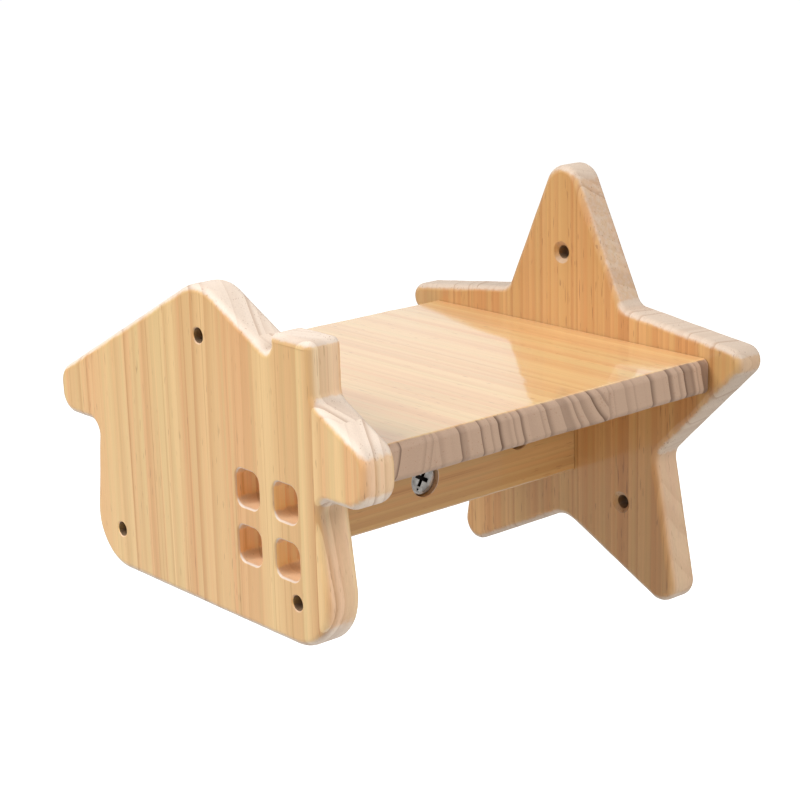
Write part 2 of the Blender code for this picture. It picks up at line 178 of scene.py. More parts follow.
def new_material(name: str) -> tuple[Material, NodeTree]:
    """Make a material with an empty node tree."""
    material = bpy.data.materials.new(name)
    material.use_nodes = True
    material.node_tree.nodes.clear()
    return material, material.node_tree


def millimetres(tree: NodeTree, turn: object = (0.0, 0.0, 0.0)) -> tuple[Node, Node]:
    """The texture coordinates, and the turned place in the piece in millimetres."""
    coords = put(tree, "TexCoord")
    feeds = {"Vector": coords.outputs["Object"], "Rotation": turn, "Scale": (1 / MM,) * 3}
    return coords, put(tree, "Mapping", feeds)


def surface(tree: NodeTree, feeds: dict) -> None:
    """Give the material its surface."""
    put(tree, "OutputMaterial", {"Surface": put(tree, "BsdfPrincipled", feeds)})


def relief(tree: NodeTree, strength: float, depth: float, height: Node) -> Node:
    """Raise the surface by a height, to a depth in millimetres."""
    return put(tree, "Bump", {"Strength": strength, "Distance": depth * MM, "Height": height})


@dataclass(frozen=True)
class PineGrowth:
    """How the pine of every board grows and takes a finish.

    A pace is the changes for each millimetre across, through and along the grain, and a step is the
    band of values over which a mark fades in.
    """

    fibre: Triple = (2.2, 2.2, 0.035)
    fibre_step: Pair = (0.25, 0.75)
    fibre_shade: Pair = (0.93, 1.05)
    streak_rough: float = 0.6
    bend: Triple = (0.022, 0.022, 0.0028)
    bend_detail: float = 1.5
    tone: Triple = (0.075, 0.075, 0.0015)
    tone_detail: float = 2.0
    tone_step: Pair = (0.40, 0.60)
    apart: Triple = (40.0, 7.0, 300.0)
    pale: Triple = (0.21, 0.21, 0.0016)
    pale_step: Pair = (0.50, 0.58)
    pale_share: float = 0.5
    thread: Triple = (0.75, 0.75, 0.0030)
    thread_step: Pair = (0.62, 0.72)
    duct: Triple = (1.5, 1.5, 0.14)
    duct_group: Triple = (0.07, 0.07, 0.012)
    duct_group_share: float = 0.3
    duct_step: Pair = (0.90, 0.99)
    duct_share: float = 0.45
    lath_key: float = 17.3
    ring_key: float = 31.7
    least_depth: float = 0.6
    uneven_scale: float = 0.55
    uneven_years: float = 2.2
    late_rise: Pair = (0.20, 0.93)
    late_fall: Pair = (0.94, 1.0)
    weakest_ring: float = 0.15
    line_power: float = 1.8
    lath_shade: Pair = (0.96, 1.03)
    rag_scale: float = 0.45
    rag: float = 0.30
    cut_step: Pair = (0.38, 0.72)
    cut_coat: float = 0.12
    dry: Pair = (0.0, 0.5)
    rough: Pair = (0.40, 0.62)
    relief: float = 0.12
    relief_strength: float = 0.35


PINE = PineGrowth()


@dataclass(frozen=True)
class PineFinish:
    """Planed pine laths glued side by side, sanded and sprayed with a clear semi-gloss varnish.

    The growth rings run through the wood as pale bands that darken slowly and end sharply. Across
    the grain they show as brown lines on a pinkish cream cut that soaks up the varnish.
    """

    name: str
    grain: Grain
    lath: float = 46.0
    shift: float = 9.0
    seed: float = 1.0
    ring: float = 4.4
    sideways: float = 75.0
    depth: float = 15.0
    wander: float = 5.0
    early: str = "F0C88B"
    warm: str = "E9B278"
    green: str = "E2C183"
    late: str = "CC9154"
    cut: str = "EEDBC9"
    cut_line: str = "A98263"
    wall_cut: str = "D2AE8A"
    speck: str = "9A6238"
    face_contrast: float = 0.75
    threads: float = 0.45
    cut_contrast: float = 0.7
    sawn: float = 0.38
    # A factor on the whole colour, 1 on a board's own faces; the wall copies take the factors below.
    shade: float = 1.0
    # Painted light on the milled and sunk walls, a factor on their colour (lighter above 1, darker below),
    # and painted shade in the drilled holes.
    milled_painted_light: float = 0.85
    drilled_painted_shade: float = 0.45
    coat: float = 1.0
    wall_coat: float = 0.3
    gloss: float = 0.08

    def material(self) -> Material:
        """Build the node material, in the board's own millimetres."""
        material, tree = new_material(self.name)
        coords, place = millimetres(tree, Matrix(self.grain.value).to_euler())
        rings = self.rings(tree, place)
        end = self.end_share(tree, coords, place)
        fibre = self.streaks(tree, place, PINE.fibre)
        coat = ramp(tree, end, self.coat, self.coat * PINE.cut_coat, PINE.dry)
        height = calc(tree, "MULTIPLY_ADD", fibre, 0.5, rings[0])
        bump = relief(tree, PINE.relief_strength, PINE.relief, height)
        surface(tree, {
            "Base Color": self.colour(tree, place, rings, end, fibre),
            "Roughness": ramp(tree, end, *PINE.rough), "IOR": WOOD_IOR, "Normal": bump,
            "Coat Weight": coat, "Coat Roughness": self.gloss, "Coat IOR": WOOD_IOR,
        })
        return material

    def with_walls(self) -> Sequence[Material]:
        """The board's material and those of its cut and bored walls, tan where cut, less glossy, with
        painted light and shade in their colour.
        """
        walls = replace(self, cut=self.wall_cut, sawn=0.0, coat=self.wall_coat)
        milled_painted_light = replace(walls, name=f"{self.name}_milled", shade=self.milled_painted_light)
        drilled_painted_shade = replace(walls, name=f"{self.name}_drilled", shade=self.drilled_painted_shade)
        return self.material(), milled_painted_light.material(), drilled_painted_shade.material()

    def rings(self, tree: NodeTree, place: Node) -> tuple[Node, Node]:
        """Growth rings round the pith of each lath.

        Args:
            tree: the node tree.
            place: the place in the board, in millimetres.

        Returns:
            The band of late wood from 0 to 1, and the lath's random numbers.
        """
        bend = noise_at(tree, place, PINE.bend, PINE.bend_detail).outputs["Color"]
        shake = calc(tree, "ADD", bend, (-0.5, -0.5, -0.5), kind=VECTORS)
        moved = calc(tree, "MULTIPLY_ADD", shake, (self.wander, self.wander, 0.0), place, kind=VECTORS)
        here = put(tree, "SeparateXYZ", {0: moved})
        straight = put(tree, "SeparateXYZ", {0: place})
        count = calc(tree, "MULTIPLY_ADD", straight, 1 / self.lath, self.shift / self.lath)
        index = calc(tree, "FLOOR", count)
        key = calc(tree, "ADD", index, self.seed * PINE.lath_key)
        chance = put(tree, "TexWhiteNoise", {"W": key}, noise_dimensions="1D")
        dice = put(tree, "SeparateColor", {0: chance.outputs["Color"]})
        toss = calc(tree, "MULTIPLY_ADD", dice, 2.0, -1.0)
        near = calc(tree, "MULTIPLY", calc(tree, "SIGN", toss), self.sideways)
        pith = calc(tree, "MULTIPLY_ADD", toss, self.sideways / 2, near)
        middle = calc(tree, "MULTIPLY_ADD", index, self.lath, self.lath / 2 - self.shift)
        across = calc(tree, "SUBTRACT", here, calc(tree, "ADD", pith, middle))
        deep = calc(tree, "MULTIPLY_ADD", dice.outputs[1], self.depth, self.depth * PINE.least_depth)
        through = calc(tree, "SUBTRACT", here.outputs[1], deep)
        spoke = put(tree, "CombineXYZ", {0: across, 1: through})
        radius = calc(tree, "LENGTH", spoke, kind=VECTORS).outputs["Value"]
        turns = calc(tree, "MULTIPLY", radius, 1 / self.ring)
        salted = calc(tree, "MULTIPLY_ADD", index, PINE.ring_key, turns)
        uneven = put(tree, "TexNoise", {"W": salted, "Scale": PINE.uneven_scale, "Detail": 1.0},
                     noise_dimensions="1D")
        years = calc(tree, "MULTIPLY_ADD", uneven, PINE.uneven_years, turns)
        phase = calc(tree, "FRACT", years)
        rise = step(tree, phase, PINE.late_rise)
        fall = step(tree, phase, PINE.late_fall, 1.0, 0.0)
        band = calc(tree, "MULTIPLY", rise, fall)
        yearly = calc(tree, "ADD", calc(tree, "FLOOR", years), index)
        luck = put(tree, "TexWhiteNoise", {"W": yearly}, noise_dimensions="1D")
        force = ramp(tree, luck, PINE.weakest_ring)
        return calc(tree, "MULTIPLY", band, force), dice

    def facing(self, tree: NodeTree, coords: Node, row: int) -> Node:
        """How squarely a surface faces one way of the grain, from 0 to 1."""
        way = [float(v) for v in self.grain.value[row]]
        dot = calc(tree, "DOT_PRODUCT", coords.outputs["Normal"], way, kind=VECTORS)
        return calc(tree, "ABSOLUTE", dot.outputs["Value"])

    def end_share(self, tree: NodeTree, coords: Node, place: Node) -> Node:
        """How far a surface cuts across the fibres, ragged at its border; sawn sides count a little."""
        sawn = calc(tree, "MULTIPLY_ADD", self.facing(tree, coords, THROUGH), -self.sawn, self.sawn)
        rag = grains(tree, place, PINE.rag_scale)
        ragged = calc(tree, "MULTIPLY_ADD", rag, PINE.rag, self.facing(tree, coords, ALONG))
        return calc(tree, "MAXIMUM", step(tree, ragged, PINE.cut_step), sawn)

    def streaks(self, tree: NodeTree, place: Node, pace: Triple, detail: float = FINE) -> Node:
        """Fine noise drawn out along the grain."""
        return noise_at(tree, place, pace, detail, PINE.streak_rough)

    def flecks(self, tree: NodeTree, place: Node) -> Node:
        """Short dark resin ducts, half a millimetre wide and a few long, as a value near 1 inside one."""
        short = self.streaks(tree, place, PINE.duct, 0.0)
        group = self.streaks(tree, place, PINE.duct_group, 1.0)
        level = calc(tree, "MULTIPLY_ADD", group, PINE.duct_group_share, short)
        return step(tree, level, PINE.duct_step)

    def colour(self, tree: NodeTree, place: Node, rings: tuple[Node, Node], end: Node,
               fibre: Node) -> NodeSocket:
        """The wood's colour.

        Args:
            tree: the node tree.
            place: the place in the board, in millimetres.
            rings: the late wood's share and the lath's random numbers.
            end: the share of cut end.
            fibre: fine streaks.
        """
        band, dice = rings
        wide = self.streaks(tree, place, PINE.tone, PINE.tone_detail)
        face = blend(tree, step(tree, wide, PINE.tone_step), self.early, self.warm)
        moved = calc(tree, "ADD", place, PINE.apart, kind=VECTORS)
        narrow = self.streaks(tree, moved, PINE.pale, 1.0)
        pale = step(tree, narrow, PINE.pale_step, high=PINE.pale_share)
        fine = self.streaks(tree, moved, PINE.thread, 1.0)
        thread = step(tree, fine, PINE.thread_step, high=self.threads)
        share = calc(tree, "MULTIPLY_ADD", band, self.face_contrast, thread)
        ringed = blend(tree, share, blend(tree, pale, face, self.green), self.late)
        line = calc(tree, "MULTIPLY", calc(tree, "POWER", band, PINE.line_power), self.cut_contrast)
        cut = blend(tree, line, self.cut, self.cut_line)
        low, high = (v * self.shade for v in PINE.fibre_shade)
        shade = ramp(tree, fibre, low, high, PINE.fibre_step)
        light = calc(tree, "MULTIPLY", shade, ramp(tree, dice.outputs[2], *PINE.lath_shade))
        lit = put(tree, VECTORS, {0: blend(tree, end, ringed, cut), "Scale": light}, operation="SCALE")
        dark = calc(tree, "MULTIPLY", self.flecks(tree, place), PINE.duct_share)
        return blend(tree, dark, lit, self.speck)


@dataclass(frozen=True)
class BeechFinish:
    """Bare turned beech: pale reddish brown with short dark ray flecks and a dry, dull surface."""

    name: str = "bare_turned_beech"
    pale: str = "D9B48C"
    brown: str = "C99B6F"
    ray: str = "9A6A45"
    fibre_pace: Triple = (2.0, 0.12, 2.0)
    ray_pace: Triple = (3.0, 0.7, 3.0)
    ray_step: Pair = (0.62, 0.70)
    ray_share: float = 0.5
    rough: float = 0.72
    relief: float = 0.1
    relief_strength: float = 0.4

    def material(self) -> Material:
        """Build the node material, with its grain along Y."""
        material, tree = new_material(self.name)
        place = millimetres(tree)[1]
        fibre = noise_at(tree, place, self.fibre_pace)
        fleck = step(tree, noise_at(tree, place, self.ray_pace, 0.0), self.ray_step)
        base = blend(tree, fibre, self.pale, self.brown)
        colour = blend(tree, calc(tree, "MULTIPLY", fleck, self.ray_share), base, self.ray)
        bump = relief(tree, self.relief_strength, self.relief, fibre)
        surface(tree, {"Base Color": colour, "Roughness": self.rough, "IOR": WOOD_IOR, "Normal": bump})
        return material


@dataclass(frozen=True)
class MetalFinish:
    """Bright metal with a fine grain, small dents and darker handled spots."""

    name: str
    colour: str
    dull: str
    rough: float
    grain: float
    dent: float
    spot_scale: float = 0.35
    spots: Pair = (0.40, 0.68)
    uneven: Pair = (0.7, 1.3)
    dent_strength: float = 0.5

    def material(self) -> Material:
        """Build the node material, in the piece's own millimetres."""
        material, tree = new_material(self.name)
        place = millimetres(tree)[1]
        fine, broad = grains(tree, place, 1 / self.grain), grains(tree, place, self.spot_scale)
        rough = ramp(tree, fine, *(v * self.rough for v in self.uneven))
        bump = relief(tree, self.dent_strength, self.dent, fine)
        colour = blend(tree, ramp(tree, broad, band=self.spots), self.colour, self.dull)
        surface(tree, {"Base Color": colour, "Metallic": 1.0, "Roughness": rough, "Normal": bump})
        return material


# An arc of an outline has a point for each ARC_STEP of its angle, and at least LEAST_STEPS.
ARC_STEP = math.radians(9)
LEAST_STEPS = 3
# How ripples weaken and shorten from one octave to the next, and how many octaves they have.
FADE, SHORTEN, OCTAVES = 1.0, 2.0, 2


def turn_of(start: float, end: float) -> float:
    """The signed angle between two headings, at most half a turn."""
    return (end - start + math.pi) % (2 * math.pi) - math.pi


def filleted(corners: Sequence[Corner]) -> list[Arc]:
    """The fillets of an outline's corners, an arc for each, anticlockwise as seen from the room."""
    arcs = []
    for i, corner in enumerate(corners):
        here = Vector(corner[:2])
        inward = here - Vector(corners[i - 1][:2])
        outward = Vector(corners[(i + 1) % len(corners)][:2]) - here
        start = math.atan2(inward.y, inward.x)
        swing = turn_of(start, math.atan2(outward.y, outward.x))
        tangent = min(corner.radius * abs(math.tan(swing / 2)), inward.length / 2, outward.length / 2)
        signed = math.copysign(tangent / abs(math.tan(swing / 2)), swing)
        centre = here - inward.normalized() * tangent + Vector((-math.sin(start), math.cos(start))) * signed
        arcs.append(Arc(centre.x, centre.y, signed, start, swing))
    return arcs


def belted(circles: Sequence[Corner]) -> list[Arc]:
    """The arcs of a belt over circles, anticlockwise; it runs under one with a negative radius."""
    ahead = []
    for i, circle in enumerate(circles):
        after = circles[(i + 1) % len(circles)]
        gap = Vector((after.x - circle.x, after.z - circle.z))
        ahead.append(math.atan2(gap.y, gap.x) - math.asin((after.radius - circle.radius) / gap.length))
    return [
        Arc(c.x, c.z, c.radius, ahead[i - 1], turn_of(ahead[i - 1], ahead[i])) for i, c in enumerate(circles)
    ]


def mirrored(corners: Sequence[Corner]) -> list[Corner]:
    """Corners on the other side of the middle, in the reverse order."""
    return [Corner(-c.x, c.z, c.radius) for c in reversed(corners)]


def draw(bm: BMesh, vert: BMVert, centre: Vector, angle: float, move: Vector, steps: int) -> BMVert:
    """Draw steps from a point, round a centre or straight on by a move, and return the last point."""
    made = bmesh.ops.spin(
        bm, geom=[vert], cent=centre, axis=(0, -1, 0), dvec=move, angle=angle, steps=steps, use_merge=False
    )
    return next(g for g in made["geom_last"] if isinstance(g, BMVert))


def trace(bm: BMesh, arcs: Sequence[Arc], y: float, finest: float) -> BMFace:
    """Draw and fill an outline: a point is spun round each arc, and the ends are joined.

    Args:
        bm: the mesh.
        arcs: the outline's arcs in order.
        y: where the outline stands.
        finest: the longest piece of a straight edge.

    Returns:
        The filled face.
    """
    starts = [
        Vector((a.x + a.radius * math.sin(a.start), y, a.z - a.radius * math.cos(a.start))) for a in arcs
    ]
    for arc, start, after in zip(arcs, starts, starts[1:] + starts[:1]):
        by_length = math.ceil(abs(arc.radius * arc.swing) / finest)
        steps = max(LEAST_STEPS, by_length, math.ceil(abs(arc.swing) / ARC_STEP))
        end = draw(bm, bm.verts.new(start), Vector((arc.x, y, arc.z)), arc.swing, Vector(), steps)
        gap = after - end.co
        if gap.length > SAME:
            steps = math.ceil(gap.length / finest)
            draw(bm, end, end.co, 0.0, gap / steps, steps)
    wires = [e for e in bm.edges if e.is_wire]
    in_order = list(dict.fromkeys(v for e in wires for v in e.verts))
    bmesh.ops.remove_doubles(bm, verts=in_order, dist=SAME)
    return bmesh.ops.edgeloop_fill(bm, edges=[e for e in bm.edges if e.is_wire])["faces"][0]


def disc(bm: BMesh, radius: float, sides: int, place: Matrix) -> BMFace:
    """Draw a filled circle and return its face."""
    made = bmesh.ops.create_circle(bm, cap_ends=True, segments=sides, radius=radius, matrix=place)
    return next(iter(made["verts"][0].link_faces))


def push(bm: BMesh, face: BMFace, move: Iterable[float]) -> BMFace:
    """Extrude a face by a move and return the new face."""
    made = bmesh.ops.extrude_face_region(bm, geom=[face, *face.edges, *face.verts])["geom"]
    verts = [g for g in made if isinstance(g, BMVert)]
    bmesh.ops.translate(bm, vec=Vector(move), verts=verts)
    return next(g for g in made if isinstance(g, BMFace))


def grow(bm: BMesh, face: BMFace, factor: float) -> None:
    """Scale a face about its own middle."""
    middle = face.calc_center_bounds()
    bmesh.ops.scale(bm, vec=(factor,) * 3, verts=face.verts, space=Matrix.Translation(-middle))


def edges_over(bm: BMesh, axis: int, low: float, high: float = math.inf) -> list[BMEdge]:
    """The edges whose reach along an axis lies between two lengths."""
    return [e for e in bm.edges if low <= abs(e.verts[0].co[axis] - e.verts[1].co[axis]) < high]


def round_over(bm: BMesh, edges: Sequence[BMEdge], radius: float, steps: int) -> None:
    """Round edges over to a radius."""
    bmesh.ops.bevel(bm, geom=edges, offset=radius, segments=steps, profile=0.5, affect="EDGES", material=-1)


def shaft(bm: BMesh, face: BMFace, half: float, direction: Vector, levels: Sequence[Pair],
          slot: int = CUT) -> None:
    """Extrude a start face through levels into a shaft that widens and narrows.

    Args:
        bm: the mesh.
        face: the start face, at the first level.
        half: half the width of the plain shaft, to which the levels' growth is added.
        direction: the unit vector along the shaft.
        levels: pairs of distance and growth.
        slot: the material slot of the plain walls; flared mouths keep the first.
    """
    at, flare = levels[0]
    grow(bm, face, (half + flare) / half)
    for distance, growth in levels[1:]:
        face = push(bm, face, direction * (distance - at))
        grow(bm, face, (half + growth) / (half + flare))
        for side in {f for e in face.edges for f in e.link_faces if f is not face}:
            side.material_index = slot if growth == 0.0 and flare == 0.0 else OWN
        at, flare = distance, growth


def mouth(radius: float, steps: int = 4) -> list[Pair]:
    """A rounded mouth's pairs of depth and growth, from outside to the plain shaft."""
    angles = [QUARTER * i / steps for i in range(steps + 1)]
    return [(-PAST, radius), *((radius * (1 - math.cos(a)), radius * (1 - math.sin(a))) for a in angles)]


def link(name: str, bm: BMesh, slot: int = OWN) -> Object:
    """Turn a mesh to an object, faces outwards; a slot other than the first is given to all of them."""
    bmesh.ops.remove_doubles(bm, verts=bm.verts, dist=MERGE)
    bmesh.ops.recalc_face_normals(bm, faces=bm.faces)
    if slot:
        for face in bm.faces:
            face.material_index = slot
    mesh = bpy.data.meshes.new(name)
    bm.to_mesh(mesh)
    bm.free()
    thing = bpy.data.objects.new(name, mesh)
    bpy.context.scene.collection.objects.link(thing)
    return thing


def carve(body: Object, cutters: Sequence[Object], looks: Sequence[Material]) -> None:
    """Cut a body with others, which are then removed, in the looks of the body and its cut walls."""
    for thing in (body, *cutters):
        for look in looks:
            thing.data.materials.append(look)
    for cutter in cutters:
        boolean = body.modifiers.new(cutter.name, "BOOLEAN")
        boolean.operation = "DIFFERENCE"
        boolean.solver = "EXACT"
        boolean.object = cutter
    graph = bpy.context.evaluated_depsgraph_get()
    mesh = bpy.data.meshes.new_from_object(body.evaluated_get(graph))
    body.modifiers.clear()
    body.data = mesh
    for cutter in cutters:
        bpy.data.objects.remove(cutter)


def finish_piece(thing: Object, body: str, node: str) -> None:
    """Shade a finished piece, put it on its CAD body and hide the CAD node it stands for."""
    thing.data.shade_smooth()
    thing.data.set_sharp_from_angle(angle=SHARP)
    weigh = thing.modifiers.new("even_shading", "WEIGHTED_NORMAL")
    weigh.keep_sharp = True
    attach(thing, body)
    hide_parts(node)
    LOG.info("%s: %d faces, on %s, for %s", thing.name, len(thing.data.polygons), body, node)


def ripple(place: Vector) -> float:
    """A smooth random height from 0 to 1 at a place."""
    return min(max(0.5 + 0.5 * noise.fractal(place, FADE, SHORTEN, OCTAVES), 0.0), 1.0)


@dataclass
class CutBoard:
    """A board sawn to an outline, with the rims of both faces rounded over and worn by sanding."""

    near: float
    far: float
    rim: float = 0.0030
    rim_steps: int = 5
    finest: float = 0.0025
    wear: float = 0.0007
    wave: float = 0.011
    seed: float = 0.0
    drift: Triple = (1.0, 1.7, 0.3)
    worn_mm: float = 1.6
    least_wear: float = 0.22
    level: float = 0.02

    def build(self, arcs: Sequence[Arc]) -> BMesh:
        """Extrude an outline, round its rims and sand them."""
        bm = bmesh.new()
        face = trace(bm, arcs, self.near, self.finest)
        push(bm, face, (0, self.far - self.near, 0))
        round_over(bm, edges_over(bm, 1, 0.0, SAME), self.rim, self.rim_steps)
        bmesh.ops.recalc_face_normals(bm, faces=bm.faces)
        self.sand(bm)
        return bm

    def sand(self, bm: BMesh) -> None:
        """Wear the rims by hand-sanding: they wander a little, inwards only."""
        bm.normal_update()
        moves = []
        for vert in bm.verts:
            flat = Vector((vert.normal.x, 0.0, vert.normal.z))
            if flat.length < self.level:
                continue
            reach = min(abs(vert.co.y - self.near), abs(vert.co.y - self.far)) / MM
            share = max(self.least_wear, 1.0 - reach / self.worn_mm)
            spot = vert.co / self.wave + Vector([self.seed * part for part in self.drift])
            moves.append((vert, flat.normalized() * (-self.wear * share * ripple(spot))))
        for vert, move in moves:
            vert.co += move


@dataclass
class ScrewHoles:
    """Screw holes through a panel, countersunk on one face."""

    places: Sequence[Pair]
    sunk_face: float
    other_face: float
    radius: float = 0.0030
    sink: float = 0.0045
    sink_depth: float = 0.0015
    lip: float = 0.0004
    sides: int = 40

    def cutter(self, name: str) -> Object:
        """Build the cutter, with one spool for each hole."""
        bm = bmesh.new()
        way = math.copysign(1.0, self.other_face - self.sunk_face)
        wide = self.sink - self.radius
        levels = [(-PAST, wide + self.lip), (0.0, wide + self.lip), (self.lip / 2, wide),
                  (self.sink_depth, 0.0), (BOARD - self.lip, 0.0),
                  (BOARD, self.lip), (BOARD + PAST, self.lip)]
        for x, z in self.places:
            spot = Matrix.Translation((x, self.sunk_face - way * PAST, z)) @ Matrix.Rotation(QUARTER, 4, "X")
            face = disc(bm, self.radius, self.sides, spot)
            shaft(bm, face, self.radius, Vector((0, way, 0)), levels, DRILLED)
        for face in bm.faces:
            face.material_index = max(face.material_index, CUT)
        return link(name, bm)


@dataclass
class HousePanel:
    """The house-shaped panel that faces the room, with a chimney and four windows."""

    finish: PineFinish
    height: float = 0.127
    below: float = 0.0768
    eaves: float = 0.1978
    pitch: float = math.radians(27.2)
    peak_x: float = 0.0037
    peak_radius: float = 0.022
    eave_depth: float = 0.0174
    eave_top: float = 0.0095
    eave_foot: float = 0.011
    wall_top: float = 0.1434
    wall_foot: float = 0.1596
    wall_notch: float = 0.0053
    foot: float = 0.0206
    chimney_width: float = 0.0241
    chimney_x: float = 0.0592
    chimney_rise: float = 0.0212
    chimney_corner: float = 0.0034
    chimney_notch: float = 0.005
    window: float = 0.0145
    window_corner: float = 0.0043
    window_lip: float = 0.0009
    window_finest: float = 0.003
    window_middle: Pair = (0.0415, -0.0338)
    window_pitch: Pair = (0.0228, 0.0219)
    holes: Sequence[Pair] = ((0.0037, 0.0310), (-0.0580, -0.0599), (0.0580, -0.0599))

    def roof(self, x: float) -> float:
        """The height of the roof line's unrounded edge above x."""
        peak = self.height - self.below + self.peak_radius * (1 / math.cos(self.pitch) - 1)
        return peak - abs(x - self.peak_x) * math.tan(self.pitch)

    def outline(self) -> list[Arc]:
        """The outline, seen from the room."""
        eave, top, foot = self.eaves / 2, self.wall_top / 2, self.wall_foot / 2
        left = self.chimney_x - self.chimney_width / 2
        right = self.chimney_x + self.chimney_width / 2
        cap = self.roof(right) + self.chimney_rise
        wall = [
            Corner(foot, -self.below, self.foot),
            Corner(top, -self.eave_depth, self.wall_notch),
            Corner(eave, -self.eave_depth, self.eave_foot),
        ]
        return filleted([
            *wall,
            Corner(eave, self.roof(eave), self.eave_top),
            Corner(right, self.roof(right), self.chimney_notch),
            Corner(right, cap, self.chimney_corner),
            Corner(left, cap, self.chimney_corner),
            Corner(left, self.roof(left), self.chimney_notch),
            Corner(self.peak_x, self.roof(self.peak_x), self.peak_radius),
            Corner(-eave, self.roof(-eave), self.eave_top),
            *mirrored(wall),
        ])

    def windows(self) -> Object:
        """Four window shafts, rounded over at both faces."""
        bm = bmesh.new()
        half = self.window / 2
        lip = mouth(self.window_lip)
        levels = [*lip, *[(BOARD - depth, growth) for depth, growth in reversed(lip)]]
        for column in (-0.5, 0.5):
            for row in (-0.5, 0.5):
                x = self.window_middle[0] + column * self.window_pitch[0]
                z = self.window_middle[1] + row * self.window_pitch[1]
                square = [Corner(x + half * i, z + half * k, self.window_corner)
                          for i, k in ((1, -1), (1, 1), (-1, 1), (-1, -1))]
                face = trace(bm, filleted(square), -LENGTH - PAST, self.window_finest)
                shaft(bm, face, half, Vector((0, 1, 0)), levels)
        return link("window_cutter", bm)

    def build(self) -> None:
        """Build and dress the panel."""
        panel = link("house_board", CutBoard(-LENGTH, HOUSE_FACE, seed=1.3).build(self.outline()))
        holes = ScrewHoles(self.holes, HOUSE_FACE, -LENGTH).cutter("house_hole_cutter")
        carve(panel, [self.windows(), holes], self.finish.with_walls())
        finish_piece(panel, "frame", "house_panel")


@dataclass
class StarPanel:
    """The star-shaped panel against the wall."""

    finish: PineFinish
    width: float = 0.200
    above: float = 0.0713
    below: float = 0.1127
    foot_width: float = 0.1320
    arm_z: float = -0.0006
    tip_radius: float = 0.0105
    arm_radius: float = 0.0067
    foot_radius: float = 0.0085
    shoulder: Corner = Corner(0.0386, 0.0190, -0.0060)
    side: Corner = Corner(0.0625, -0.0503, -0.0070)
    crotch_z: float = -0.0872
    crotch_radius: float = 0.014
    holes: Sequence[Pair] = ((0.0, 0.0333), (-0.0355, -0.0727), (0.0355, -0.0727))

    def outline(self) -> list[Arc]:
        """The outline, seen from the room."""
        arm = Corner(self.width / 2 - self.arm_radius, self.arm_z, self.arm_radius)
        foot_x, foot_z = self.foot_width / 2 - self.foot_radius, self.foot_radius - self.below
        right = [Corner(foot_x, foot_z, self.foot_radius), self.side, arm, self.shoulder]
        top = Corner(0.0, self.above - self.tip_radius, self.tip_radius)
        crotch = Corner(0.0, self.crotch_z - self.crotch_radius, -self.crotch_radius)
        return belted([crotch, *right, top, *mirrored(right)])

    def build(self) -> None:
        """Build and dress the panel."""
        board = CutBoard(STAR_FACE, 0.0, wear=0.0011, wave=0.009, seed=5.1)
        panel = link("star_board", board.build(self.outline()))
        holes = ScrewHoles(self.holes, STAR_FACE, 0.0).cutter("star_hole_cutter")
        carve(panel, [holes], self.finish.with_walls())
        finish_piece(panel, "frame", "star_panel")


@dataclass
class Plank:
    """A plank between the panels, worn lightly, with all or only the lower long edges rounded."""

    low: Vector
    high: Vector
    rounding: float
    lower_only: bool
    seed: float
    steps: int = 6
    cuts: int = 72
    wave: float = 0.010
    wear: float = 0.0006
    least_wear: float = 0.12

    def build(self, name: str) -> Object:
        """Build the plank under a name."""
        bm = bmesh.new()
        made = bmesh.ops.create_cube(bm, size=1.0)["verts"]
        bmesh.ops.scale(bm, vec=self.high - self.low, verts=made)
        bmesh.ops.translate(bm, vec=(self.high + self.low) / 2, verts=made)
        middle = (self.high.z + self.low.z) / 2
        chosen = [e for e in edges_over(bm, 1, BOARD) if not self.lower_only or e.verts[0].co.z < middle]
        round_over(bm, chosen, self.rounding, self.steps)
        bmesh.ops.subdivide_edges(bm, edges=edges_over(bm, 1, BOARD), cuts=self.cuts, use_grid_fill=True)
        bmesh.ops.recalc_face_normals(bm, faces=bm.faces)
        bm.normal_update()
        inner = [v for v in bm.verts if min(abs(v.co.y - self.low.y), abs(v.co.y - self.high.y)) >= SAME]
        for vert in inner:
            tilt = abs(vert.normal.x) * abs(vert.normal.z)
            side = Vector((vert.normal.x, 0, vert.normal.z))
            spot = vert.co / self.wave + Vector((self.seed, 0, self.seed))
            vert.co -= side * (self.wear * (self.least_wear + 2 * tilt) * ripple(spot))
        return link(name, bm)


@dataclass
class ShelfBoard:
    """The board the cat stands on."""

    finish: PineFinish
    width: float = 0.1676
    rounding: float = 0.003

    def build(self) -> None:
        """Build and dress the board."""
        low = Vector((-self.width / 2, HOUSE_FACE + SEAM, -BOARD))
        high = Vector((self.width / 2, STAR_FACE - SEAM, 0.0))
        board = Plank(low, high, self.rounding, lower_only=False, seed=2.0).build("shelf_plank")
        board.data.materials.append(self.finish.material())
        finish_piece(board, "frame", "shelf_board")


class CamSpot(NamedTuple):
    """One cam lock: its name, where its bolt stands in a board, and the way from there to the cam."""

    name: str
    face: Vector
    way: Vector

    @property
    def centre(self) -> Vector:
        """The middle of the cam's axis."""
        return self.face + self.way * CAM_TO_FACE


CAM_SPOTS = (
    CamSpot("star", Vector((0, STAR_FACE, RAIL_MIDDLE)), Vector((0, -1, 0))),
    CamSpot("house", Vector((0, HOUSE_FACE, RAIL_MIDDLE)), Vector((0, 1, 0))),
    CamSpot("shelf", Vector((0, SHELF_CAM_Y, -BOARD)), Vector((0, 0, -1))),
)


